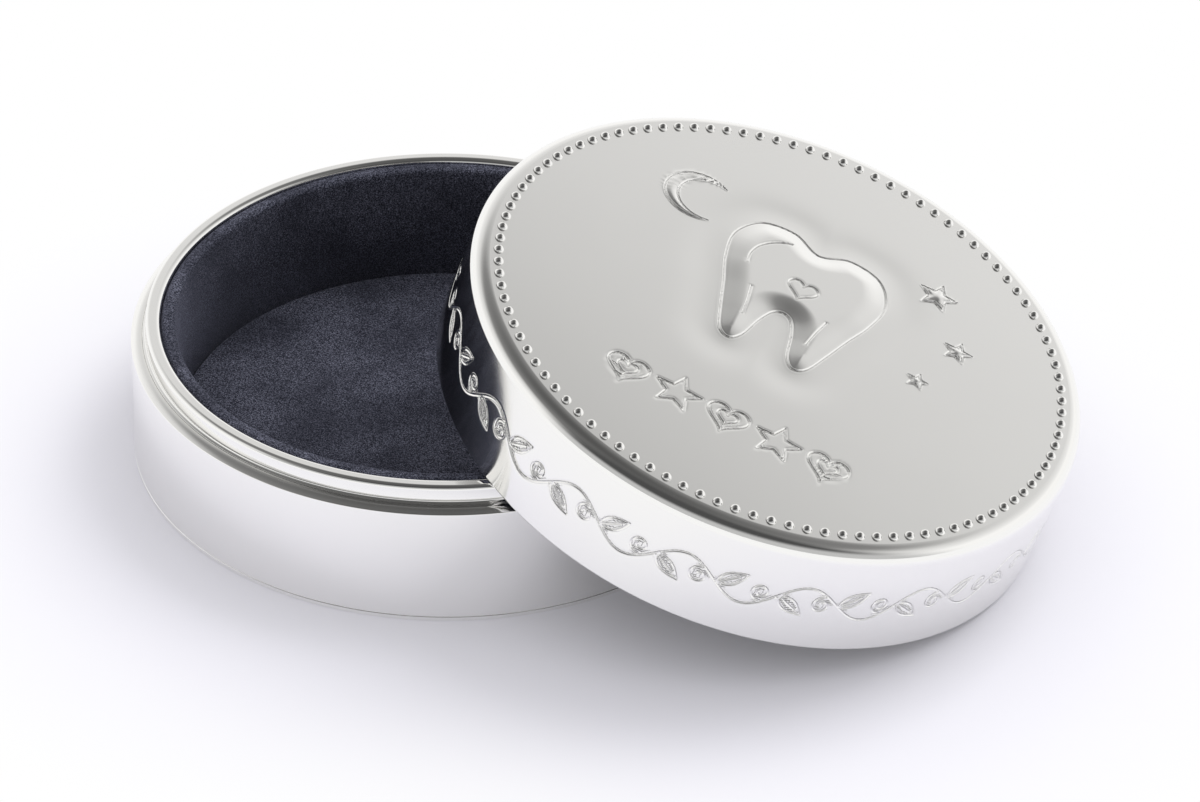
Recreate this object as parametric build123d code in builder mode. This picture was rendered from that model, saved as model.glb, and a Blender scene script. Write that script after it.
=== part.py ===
from build123d import *
from math import cos, radians, sin, sqrt, tan
import os

# A round baby tooth box in polished silver plate, lined with velvet.
# The frame: the origin is the centre of the base's underside, +Z is up, and +X points
# from the base to the lid, which is off and leans on the base's rim with its skirt on
# the table. All lengths are in millimetres.

# Driving dimensions of the base
box_diameter = 60.0
plate_thickness = 0.5
plate_edge_round = 0.12
seam_bevel = 0.06
wall_thickness = 1.07
wall_height = 12.05
shoulder_rise = 0.4
shoulder_edge_round = 0.12

# Driving dimensions of the rim collar, whose upper end is the spigot that the lid slides on
collar_step = 0.37
collar_cove_rise = 0.2
collar_depth = 6.0
collar_thickness = 1.41
spigot_height = 1.55
rim_round_outside = 0.4
rim_round_inside = 0.5

# Driving dimensions of the linings of the base
fit_gap = 0.03
lining_drop = 0.3
wall_board_thickness = 0.5
wall_pile = 0.55
turnover_thickness = 0.35
turnover_depth = 5.0
velvet_edge_round = 0.15
floor_board_thickness = 0.6
floor_pile = 0.7
floor_wrap = 0.4

# Driving dimensions of the lid
lid_height = 12.55
lid_crown = 0.3
lid_sheet = 0.8
lid_edge_round = 1.5
ceiling_round = 0.4
lid_clearance = 0.24
skirt_round_inside = 0.75
skirt_round_outside = 0.25

# Driving dimensions of the struck beads round the lid's face
bead_count = 102
bead_diameter = 1.1
bead_margin = 2.33
bead_sink = 0.1
bead_start_angle = 1.33

# Driving dimensions of the lining of the lid
lid_board_thickness = 0.8
lid_pile = 0.7
lid_wrap = 0.5

# How the lid leans: its tilt in degrees, and the air left where it bears on the rim
lid_tilt = 18.0
lid_bearing_gap = 0.12

# Radii, worked out from the outside inwards
box_radius = box_diameter / 2
wall_inside = box_radius - wall_thickness
collar_outside = wall_inside - fit_gap
spigot_radius = wall_inside - collar_step
collar_inside = spigot_radius - collar_thickness
lining_outside = collar_inside - fit_gap
wall_board_outside = lining_outside - turnover_thickness
wall_board_inside = wall_board_outside - wall_board_thickness
lining_inside = wall_board_inside - wall_pile
floor_radius = lining_inside - fit_gap
floor_board_radius = floor_radius - floor_wrap
lid_inside = spigot_radius + lid_clearance
lid_lining_radius = lid_inside - fit_gap
lid_board_radius = lid_lining_radius - lid_wrap
bead_circle = box_radius - bead_margin

# Heights above the table
shoulder_top = wall_height + shoulder_rise
spigot_foot = shoulder_top + collar_cove_rise
rim_top = spigot_foot + spigot_height
lining_top = rim_top - lining_drop
floor_board_top = plate_thickness + floor_board_thickness
floor_top = floor_board_top + floor_pile

# The lid's face is a shallow dome, as wide as the box, that falls by the crown.
crown_radius = (box_radius**2 + lid_crown**2) / (2 * lid_crown)


def face_height(radius):
    """Height of the lid's outer face above its open end, at a radius."""
    return lid_height - crown_radius + sqrt(crown_radius**2 - radius**2)


def ceiling_height(radius):
    """Height of the lid's inner face above its open end, one sheet below the dome."""
    return lid_height - crown_radius + sqrt((crown_radius - lid_sheet) ** 2 - radius**2)


# Heights above the lid's open end, along its own axis
lid_board_top = ceiling_height(lid_inside) - fit_gap
lid_board_foot = lid_board_top - lid_board_thickness
lid_wrap_top = lid_board_top - ceiling_round
lid_lining_foot = lid_board_foot - lid_pile

# Where the lid rests. The round of its skirt's edge stands on the table, which gives the
# height of the open end's centre. Its flat edge crosses the crown of the rim twice. Seen
# from above, the skirt's circle is an ellipse, and the lid's centre lies where the rim's
# circle and that ellipse meet at the height of the rim.
tilt = radians(lid_tilt)
bearing_radius = lid_inside + skirt_round_inside
rim_crown = spigot_radius - rim_round_outside
lid_centre_height = (box_radius - skirt_round_outside) * sin(tilt) + skirt_round_outside * (1 - cos(tilt))
crossing_rise = rim_top + lid_bearing_gap - lid_centre_height
crossing_x = sqrt((crossing_rise / sin(tilt)) ** 2 + rim_crown**2 - bearing_radius**2)
lid_centre_x = crossing_x + crossing_rise / tan(tilt)

lid_centre = (lid_centre_x, 0, lid_centre_height)
lid_down = (cos(tilt), 0, -sin(tilt))
lid_normal = (sin(tilt), 0, cos(tilt))
lid_axis = Axis(lid_centre, lid_normal)
lid_plane = Plane(lid_centre, lid_down, lid_normal)
lid_section = Plane(lid_centre, lid_down, (0, -1, 0))


def at_height(piece, height):
    """The piece's edges that lie flat at one height above the table."""
    return piece.edges().filter_by_position(Axis.Z, height, height)


def at_lid_height(piece, height):
    """The piece's round edges that lie flat at one height above the lid's open end."""
    level = lid_plane.offset(height).origin
    rings = piece.edges().filter_by(GeomType.CIRCLE)
    return rings.filter_by(lambda ring: (ring.arc_center - level).length < fit_gap)


def finish(piece, name):
    """Labels a piece and writes it under its own name."""
    piece.part.label = name
    export_step(piece.part, f"parts/{name}.step")


os.makedirs("parts", exist_ok=True)

# Base plate: a disc soldered under the wall, with its edge bevelled at the seam
with BuildPart() as base_plate:
    with BuildSketch():
        Circle(box_radius)
    extrude(amount=plate_thickness)
    chamfer(at_height(base_plate, plate_thickness), seam_bevel)
    fillet(at_height(base_plate, 0), plate_edge_round)
finish(base_plate, "base_plate")

# Base wall: a drawn tube on the plate, whose top is a shoulder that bulges as it rises
with BuildPart() as base_wall:
    with BuildSketch(Plane.XZ):
        with BuildLine():
            shoulder = RadiusArc((wall_inside, shoulder_top), (box_radius, wall_height), 2 * wall_thickness)
            Polyline(
                shoulder @ 1,
                (box_radius, plate_thickness + seam_bevel),
                (box_radius - seam_bevel, plate_thickness),
                (wall_inside, plate_thickness),
                shoulder @ 0,
            )
        make_face()
    revolve(axis=Axis.Z)
    fillet(at_height(base_wall, wall_height), shoulder_edge_round)
finish(base_wall, "base_wall")

# Rim collar: soldered inside the wall, stepped in by a cove to the spigot for the lid
with BuildPart() as rim_collar:
    with BuildSketch(Plane.XZ):
        with BuildLine():
            cove = TangentArc(
                (spigot_radius, spigot_foot), (collar_outside, shoulder_top), tangent=(0, -1)
            )
            Polyline(
                cove @ 1,
                (collar_outside, shoulder_top - collar_depth),
                (collar_inside, shoulder_top - collar_depth),
                (collar_inside, rim_top),
                (spigot_radius, rim_top),
                cove @ 0,
            )
        make_face()
    revolve(axis=Axis.Z)
    fillet(at_height(rim_collar, rim_top).sort_by(SortBy.RADIUS)[0], rim_round_inside)
    fillet(at_height(rim_collar, rim_top).sort_by(SortBy.RADIUS)[-1], rim_round_outside)
finish(rim_collar, "rim_collar")

# Wall board: the strip of card that the wall's velvet is wrapped on
with BuildPart() as wall_board:
    with BuildSketch(Plane.XY.offset(plate_thickness)):
        Circle(wall_board_outside)
        Circle(wall_board_inside, mode=Mode.SUBTRACT)
    extrude(amount=lining_top - wall_pile - plate_thickness)
finish(wall_board, "wall_board")

# Wall velvet: lines the board, goes over its top edge and turns down behind it
with BuildPart() as wall_velvet:
    with BuildSketch(Plane.XZ):
        with BuildLine():
            Polyline(
                (lining_inside, plate_thickness),
                (wall_board_inside, plate_thickness),
                (wall_board_inside, lining_top - wall_pile),
                (wall_board_outside, lining_top - wall_pile),
                (wall_board_outside, lining_top - turnover_depth),
                (lining_outside, lining_top - turnover_depth),
                (lining_outside, lining_top),
                (lining_inside, lining_top),
                close=True,
            )
        make_face()
    revolve(axis=Axis.Z)
    fillet(at_height(wall_velvet, lining_top), velvet_edge_round)
finish(wall_velvet, "wall_velvet")

# Floor board: the disc of card that the floor's velvet is wrapped on
with BuildPart() as floor_board:
    with BuildSketch(Plane.XY.offset(plate_thickness)):
        Circle(floor_board_radius)
    extrude(amount=floor_board_thickness)
finish(floor_board, "floor_board")

# Floor velvet: covers the floor board and wraps its edge
with BuildPart() as floor_velvet:
    with BuildSketch(Plane.XY.offset(plate_thickness)):
        Circle(floor_radius)
    extrude(amount=floor_top - plate_thickness)
    fillet(at_height(floor_velvet, floor_top), velvet_edge_round)
    with BuildSketch(Plane.XY.offset(plate_thickness)):
        Circle(floor_board_radius)
    extrude(amount=floor_board_thickness, mode=Mode.SUBTRACT)
finish(floor_velvet, "floor_velvet")

# Lid shell: one pressed sheet, with a domed face, a straight skirt and struck beads
with BuildPart() as lid_shell:
    with BuildSketch(lid_section):
        with BuildLine():
            face = ThreePointArc(
                (0, face_height(0)),
                (box_radius / 2, face_height(box_radius / 2)),
                (box_radius, face_height(box_radius)),
            )
            ceiling = ThreePointArc(
                (lid_inside, ceiling_height(lid_inside)),
                (lid_inside / 2, ceiling_height(lid_inside / 2)),
                (0, ceiling_height(0)),
            )
            Polyline(face @ 1, (box_radius, 0), (lid_inside, 0), ceiling @ 0)
            Line(ceiling @ 1, face @ 0)
        make_face()
    revolve(axis=lid_axis)
    fillet(at_lid_height(lid_shell, face_height(box_radius)), lid_edge_round)
    fillet(at_lid_height(lid_shell, ceiling_height(lid_inside)), ceiling_round)
    fillet(at_lid_height(lid_shell, 0).sort_by(SortBy.RADIUS)[0], skirt_round_inside)
    fillet(at_lid_height(lid_shell, 0).sort_by(SortBy.RADIUS)[-1], skirt_round_outside)
    with Locations(lid_plane.offset(face_height(bead_circle) - bead_sink)):
        with PolarLocations(bead_circle, bead_count, bead_start_angle):
            Sphere(bead_diameter / 2)
finish(lid_shell, "lid_shell")

# Lid board: the disc of card under the lid's face that its velvet is wrapped on
with BuildPart() as lid_board:
    with BuildSketch(lid_plane.offset(lid_board_foot)):
        Circle(lid_board_radius)
    extrude(amount=lid_board_thickness)
finish(lid_board, "lid_board")

# Lid velvet: covers the lid board and wraps its edge
with BuildPart() as lid_velvet:
    with BuildSketch(lid_plane.offset(lid_lining_foot)):
        Circle(lid_lining_radius)
    extrude(amount=lid_wrap_top - lid_lining_foot)
    fillet(at_lid_height(lid_velvet, lid_lining_foot), velvet_edge_round)
    with BuildSketch(lid_plane.offset(lid_board_foot)):
        Circle(lid_board_radius)
    extrude(amount=lid_board_thickness, mode=Mode.SUBTRACT)
finish(lid_velvet, "lid_velvet")

print("lid centre", [round(value, 3) for value in lid_centre])
print("lid to collar", round(lid_shell.part.distance_to(rim_collar.part), 4))
print("lid to wall", round(lid_shell.part.distance_to(base_wall.part), 4))
print("lowest point of the lid", round(lid_shell.part.bounding_box().min.Z, 4))
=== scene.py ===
"""Looks of a round silver-plated baby tooth box, its velvet-lined base open and its lid leaning on the rim.

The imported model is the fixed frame. Every visible surface is a numpy surface on the CAD's own sizes: turned
profiles for metal and velvet, and a struck and engraved face for the lid. Lengths in the classes are
millimetres, as in the CAD, and become metres where a mesh is made.
"""

import logging
import math
from dataclasses import dataclass, field
from enum import Enum

import bpy
import numpy as np
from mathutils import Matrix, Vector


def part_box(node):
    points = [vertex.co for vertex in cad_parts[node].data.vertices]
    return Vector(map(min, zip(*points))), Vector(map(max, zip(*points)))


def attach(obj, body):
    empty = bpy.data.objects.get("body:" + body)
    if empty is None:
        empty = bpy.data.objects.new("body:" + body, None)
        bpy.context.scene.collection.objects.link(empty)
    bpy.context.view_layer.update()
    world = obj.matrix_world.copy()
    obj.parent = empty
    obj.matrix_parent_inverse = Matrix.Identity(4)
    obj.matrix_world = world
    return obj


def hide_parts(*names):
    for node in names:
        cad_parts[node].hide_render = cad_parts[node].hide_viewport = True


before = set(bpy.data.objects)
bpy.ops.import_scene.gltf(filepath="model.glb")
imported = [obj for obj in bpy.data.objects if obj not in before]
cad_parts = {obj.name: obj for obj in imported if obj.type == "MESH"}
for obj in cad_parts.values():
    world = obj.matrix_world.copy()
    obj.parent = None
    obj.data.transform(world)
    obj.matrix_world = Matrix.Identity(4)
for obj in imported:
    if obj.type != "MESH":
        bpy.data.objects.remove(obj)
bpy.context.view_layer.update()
MM = 0.001
# In millimetres: how near two surfaces count as one, and how far from a stroke nothing is cut.
TOUCH = 0.01
FAR = 9.0
# The share of its wrap's height that a velvet disc's cut radius gains.
WRAP_SHARE = 0.7
log = logging.getLogger("tooth_box")


# Shapes


@dataclass(frozen=True)
class Place:
    """Where a turned piece stands: an origin and three axes, in millimetres of the row frame."""

    origin: np.ndarray
    across: np.ndarray
    side: np.ndarray
    axis: np.ndarray

    def axes(self) -> np.ndarray:
        """The three axes, as rows."""
        return np.stack([self.across, self.side, self.axis])

    def to_metres(self, local: np.ndarray) -> np.ndarray:
        """Turns local points (n, 3) in millimetres into points of the row frame in metres."""
        return (self.origin + local @ self.axes()) * MM

    def to_local(self, points: np.ndarray) -> np.ndarray:
        """Turns points (n, 3) of the row frame in millimetres into local ones."""
        return (points - self.origin) @ self.axes().T


def base_place() -> Place:
    """The base's own place, which is the row frame's."""
    return Place(np.zeros(3), *np.eye(3))


def node_points(name: str) -> np.ndarray:
    """The vertices (n, 3) of a CAD node, in millimetres."""
    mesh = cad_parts[name].data
    points = np.empty(len(mesh.vertices) * 3)
    mesh.vertices.foreach_get("co", points)
    return points.reshape(-1, 3) / MM


def reach_of(points: np.ndarray) -> np.ndarray:
    """Distance of each point from the axis."""
    return np.hypot(points[:, 0], points[:, 1])


def least_and_most(values: np.ndarray) -> tuple[float, float]:
    """The smallest and the largest value."""
    return float(values.min()), float(values.max())


def lid_place(tilt: float = 18.0) -> Place:
    """The lid's place, from the card disc inside it.

    Args:
        tilt: the lean of the lid from level, in degrees, as in the CAD.

    Returns:
        The place, with its origin where the lid's axis meets its open end and its first axis down the slope.
    """
    board = node_points("lid_board")
    centre = (board.max(0) + board.min(0)) / 2
    lean = math.radians(tilt)
    normal = np.array([math.sin(lean), 0.0, math.cos(lean)])
    across = np.array([math.cos(lean), 0.0, -math.sin(lean)])
    open_end = ((node_points("lid_shell") - centre) @ normal).min()
    return Place(centre + normal * open_end, across, np.array([0.0, 1.0, 0.0]), normal)


def fillet_outline(
    corners: list[tuple[float, float, float]], steps: int = 8, hold: float = 0.02
) -> np.ndarray:
    """Rounds the corners of an outline.

    Each corner with a radius becomes an arc that is tangent to both sides: its centre lies on the corner's
    bisector at radius / sin(half angle). A holding point just outside each end of an arc keeps the shading of
    the straight sides flat.

    Args:
        corners: (x, y, radius) of each corner, in order round the closed outline.
        steps: spans in each arc.
        hold: distance of the holding points from the arc's ends.

    Returns:
        The points (n, 2) of the closed outline.
    """
    points = []
    for index, (x, y, radius) in enumerate(corners):
        here = np.array([x, y])
        before = np.array(corners[index - 1][:2]) - here
        after = np.array(corners[(index + 1) % len(corners)][:2]) - here
        before = before / np.linalg.norm(before)
        after = after / np.linalg.norm(after)
        if radius <= 0:
            points.append(here[None])
            continue
        half = math.acos(float(np.clip(before @ after, -1, 1))) / 2
        reach = radius / math.tan(half)
        bisector = (before + after) / np.linalg.norm(before + after)
        centre = here + bisector * radius / math.sin(half)
        start = here + before * reach - centre
        end = here + after * reach - centre
        turn = math.atan2(start[0] * end[1] - start[1] * end[0], float(start @ end))
        angles = np.linspace(0, turn, steps + 1)
        arc = np.stack(
            [
                start[0] * np.cos(angles) - start[1] * np.sin(angles),
                start[0] * np.sin(angles) + start[1] * np.cos(angles),
            ],
            axis=1,
        )
        first, last = (here + side * (reach + hold) for side in (before, after))
        points += [first[None], centre + arc, last[None]]
    return np.concatenate(points)


def ring_quads(rings: int, segments: int, closed: bool) -> np.ndarray:
    """The quads between neighbouring rings of a turned surface.

    Args:
        rings: how many rings of vertices there are.
        segments: vertices in each ring.
        closed: whether the last ring joins the first.

    Returns:
        Four vertex numbers (n, 4) of each quad.
    """
    ring = np.arange(rings if closed else rings - 1)[:, None] * segments
    onward = (ring + segments) % (rings * segments)
    segment = np.arange(segments)[None, :]
    beside = (segment + 1) % segments
    quads = [ring + segment, ring + beside, onward + beside, onward + segment]
    return np.stack(quads, axis=-1).reshape(-1, 4)


def turn_points(outline: np.ndarray, segments: int) -> np.ndarray:
    """Turns an outline of (radius, height) about the axis: point = (r cos a, r sin a, h), ring by ring."""
    angles = np.arange(segments) * 2 * math.pi / segments
    radius, height = outline[:, :1], outline[:, 1:]
    grid = [radius * np.cos(angles), radius * np.sin(angles), height + 0 * angles]
    return np.stack(grid, axis=-1).reshape(-1, 3)


def add_piece(
    name: str,
    points: np.ndarray,
    quads: np.ndarray,
    triangles: np.ndarray | None = None,
    flat_faces: np.ndarray | None = None,
) -> bpy.types.Object:
    """Makes a mesh object from arrays, shaded smooth.

    Args:
        name: the piece's name.
        points: vertices (n, 3) in metres.
        quads: four vertex numbers of each quad, anticlockwise from outside.
        triangles: three vertex numbers of each triangle.
        flat_faces: numbers of the faces that are shaded flat, whose edges become sharp.

    Returns:
        The new object, at the origin.
    """
    faces = quads.tolist() + ([] if triangles is None else triangles.tolist())
    mesh = bpy.data.meshes.new(name)
    mesh.from_pydata(points.tolist(), [], faces)
    smooth = np.ones(len(faces), bool)
    if flat_faces is not None:
        smooth[flat_faces] = False
    mesh.polygons.foreach_set("use_smooth", smooth)
    if flat_faces is not None:
        corner_edges = np.empty(len(mesh.loops), np.int32)
        mesh.loops.foreach_get("edge_index", corner_edges)
        corners = np.empty(len(faces), np.int32)
        mesh.polygons.foreach_get("loop_total", corners)
        sharp = np.zeros(len(mesh.edges), bool)
        sharp[corner_edges[np.repeat(~smooth, corners)]] = True
        mesh.edges.foreach_set("use_edge_sharp", sharp)
    mesh.update()
    piece = bpy.data.objects.new(name, mesh)
    bpy.context.scene.collection.objects.link(piece)
    return piece


def turned_piece(name: str, outline: np.ndarray, place: Place, segments: int = 360) -> bpy.types.Object:
    """A closed ring turned from a closed outline of (radius, height), clockwise with the axis up."""
    quads = ring_quads(len(outline), segments, True)
    return add_piece(name, place.to_metres(turn_points(outline, segments)), quads)


def turned_disc(name: str, outline: np.ndarray, place: Place, segments: int = 360) -> bpy.types.Object:
    """Makes a closed disc with a pole at each end.

    Args:
        name: the piece's name.
        outline: open outline of (radius, height) that starts and ends on the axis.
        place: where the disc stands.
        segments: vertices in each ring.

    Returns:
        The new object.
    """
    inner = outline[1:-1]
    rings = turn_points(inner, segments)
    poles = np.array([[0, 0, outline[0, 1]], [0, 0, outline[-1, 1]]])
    points = np.concatenate([rings, poles])
    first = np.arange(segments)
    beside = (first + 1) % segments
    last = (len(inner) - 1) * segments
    start_fan = np.stack([np.full(segments, len(rings)), beside, first], axis=1)
    end_fan = np.stack([np.full(segments, len(rings) + 1), last + first, last + beside], axis=1)
    quads = ring_quads(len(inner), segments, False)
    return add_piece(name, place.to_metres(points), quads, np.concatenate([start_fan, end_fan]))


def write_attribute(piece: bpy.types.Object, name: str, values: np.ndarray) -> None:
    """Stores one number or one vector for each vertex under a name that the materials read."""
    kind, part = ("FLOAT", "value") if values.ndim == 1 else ("FLOAT_VECTOR", "vector")
    layer = piece.data.attributes.new(name, kind, "POINT")
    layer.data.foreach_set(part, values.astype(np.float32).ravel())


# Strokes of the engraver


def smooth_loop(corners: np.ndarray, steps: int = 10) -> np.ndarray:
    """A closed Catmull-Rom curve through the corners.

    Each span is a cubic whose end slopes are half the chord between its neighbours.

    Args:
        corners: the points (n, 2) that the curve runs through.
        steps: points in each span.

    Returns:
        The points of the curve.
    """
    t = np.linspace(0, 1, steps, endpoint=False)[None, :, None]
    a, b, c, d = (np.roll(corners, shift, axis=0)[:, None, :] for shift in (1, 0, -1, -2))
    square, cube = 2 * a - 5 * b + 4 * c - d, 3 * b - a - 3 * c + d
    return (0.5 * (2 * b + (c - a) * t + square * t**2 + cube * t**3)).reshape(-1, 2)


def as_segments(stroke: np.ndarray, closed: bool) -> np.ndarray:
    """The straight segments (n, 2, 2) of a stroke."""
    ends = np.roll(stroke, -1, axis=0)
    segments = np.stack([stroke, ends], axis=1)
    return segments if closed else segments[:-1]


def nearest_offset(points: np.ndarray, segments: np.ndarray, block: int = 4000) -> np.ndarray:
    """The vector from each point to the nearest place on any segment.

    The nearest place on a segment is its start plus the point's share along it, held between 0 and 1.

    Args:
        points: (n, 2).
        segments: (m, 2, 2).
        block: how many points are worked out together.

    Returns:
        The vectors (n, 2).
    """
    start = segments[:, 0]
    run = segments[:, 1] - start
    length = np.maximum((run**2).sum(1), 1e-12)
    offsets = np.empty_like(points)
    for first in range(0, len(points), block):
        some = points[first : first + block, None, :] - start[None]
        share = np.clip((some * run).sum(2) / length, 0, 1)
        gap = share[..., None] * run - some
        best = (gap**2).sum(2).argmin(1)
        offsets[first : first + block] = gap[np.arange(len(best)), best]
    return offsets


def inside_loop(points: np.ndarray, loop: np.ndarray, block: int = 4000) -> np.ndarray:
    """Finds the points inside a closed loop, whose ray to the right crosses the loop an odd number of times.

    Args:
        points: (n, 2).
        loop: the loop's corners (m, 2).
        block: how many points are worked out together.

    Returns:
        True for each point inside.
    """
    start, end = loop, np.roll(loop, -1, axis=0)
    rise = end[:, 1] - start[:, 1]
    rise = np.where(rise == 0, 1e-12, rise)
    inside = np.empty(len(points), bool)
    for first in range(0, len(points), block):
        x = points[first : first + block, 0][:, None]
        y = points[first : first + block, 1][:, None]
        spans = (start[:, 1] > y) != (end[:, 1] > y)
        crossing = start[:, 0] + (y - start[:, 1]) / rise * (end[:, 0] - start[:, 0])
        inside[first : first + block] = (spans & (x < crossing)).sum(1) % 2 == 1
    return inside


def signed_distance(points: np.ndarray, loop: np.ndarray) -> np.ndarray:
    """Distance of each point from a closed loop, negative inside it."""
    distance = np.linalg.norm(nearest_offset(points, as_segments(loop, True)), axis=1)
    return np.where(inside_loop(points, loop), -distance, distance)


def smooth_step(value: np.ndarray) -> np.ndarray:
    """0 below 0 and 1 above 1, with the cubic 3 t^2 - 2 t^3 between."""
    held = np.clip(value, 0, 1)
    return held * held * (3 - 2 * held)


def groove(offset: np.ndarray, half_width: float = 0.26, depth: float = 0.04) -> np.ndarray:
    """The depth of a round-bottomed groove: half the depth times 1 + cos(pi * distance / half width)."""
    share = np.clip(np.linalg.norm(offset, axis=1) / half_width, 0, 1)
    return depth / 2 * (1 + np.cos(math.pi * share))


@dataclass(frozen=True)
class Leaf:
    """An engraved leaf: two arcs that meet at a point, and a rib."""

    length: float = 3.2
    width: float = 1.35
    belly: float = 0.85
    rib: float = 0.72

    def strokes(self, root: tuple[float, float], heading: float) -> list[np.ndarray]:
        """The leaf's lines.

        Args:
            root: where the leaf leaves its stem.
            heading: the way it points, in radians.

        Returns:
            Its closed outline, as two edges that swell as a sine's arch, and its rib.
        """
        along = np.linspace(0, 1, 9)
        swell = np.sin(math.pi * along**self.belly) * self.width / 2
        edge = np.stack([along * self.length, swell], axis=1)
        mirrored = edge * [1, -1]
        rib = np.array([[0.0, 0.0], [self.rib * self.length, 0.0]])
        cosine, sine = math.cos(heading), math.sin(heading)
        turn = np.array([[cosine, sine], [-sine, cosine]])
        return [line @ turn + np.array(root) for line in (edge, mirrored, rib)]


@dataclass(frozen=True)
class Vine:
    """The running vine round the lid's skirt: a waving stem, a leaf on each side of each wave, and curls."""

    waves: int = 16
    middle: float = 5.7
    swing: float = 1.7
    leaf: Leaf = Leaf()
    leaf_heading: float = 0.62
    leaf_shares: tuple[tuple[int, float], ...] = ((1, 0.02), (-1, 0.52))
    curl_radius: float = 1.0
    curl_turns: float = 1.3
    curl_shrink: float = 0.75
    curl_drop: float = 0.15
    curl_share: float = 0.36

    def curl(self, sign: int) -> np.ndarray:
        """Draws a tendril that leaves the stem and rolls up.

        Args:
            sign: 1 for a tendril above the stem, -1 for one below it.

        Returns:
            The points (n, 2) of a spiral whose radius shrinks evenly with its angle.
        """
        angles = np.linspace(0, 2 * math.pi * self.curl_turns, 26)
        radius = self.curl_radius * (1 - self.curl_shrink * angles / angles[-1])
        roll = np.stack([np.cos(angles + math.pi / 2), np.sin(angles + math.pi / 2)], axis=1)
        return roll * radius[:, None] * [1, sign] + [0.0, -sign * self.curl_drop]

    def segments(self, girth: float) -> np.ndarray:
        """The straight segments of three neighbouring waves, of which the middle one is repeated.

        The stem is middle + swing * sin(2 pi s / wave).

        Args:
            girth: the skirt's way round.

        Returns:
            The segments (n, 2, 2) in (way round, height).
        """
        wave = girth / self.waves
        along = np.linspace(0, 1, 33)
        stem = self.middle + self.swing * np.sin(2 * math.pi * along)
        strokes = []
        for turn in (-1, 0, 1):
            strokes.append(np.stack([(turn + along) * wave, stem], axis=1))
            for sign, share in self.leaf_shares:
                rise = self.swing * math.sin(2 * math.pi * share)
                root = ((turn + share) * wave, self.middle + rise)
                strokes += self.leaf.strokes(root, -sign * self.leaf_heading)
                strokes.append(self.curl(sign) + [(turn + share + self.curl_share) * wave, self.middle])
        return np.concatenate([as_segments(stroke, False) for stroke in strokes])


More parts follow.
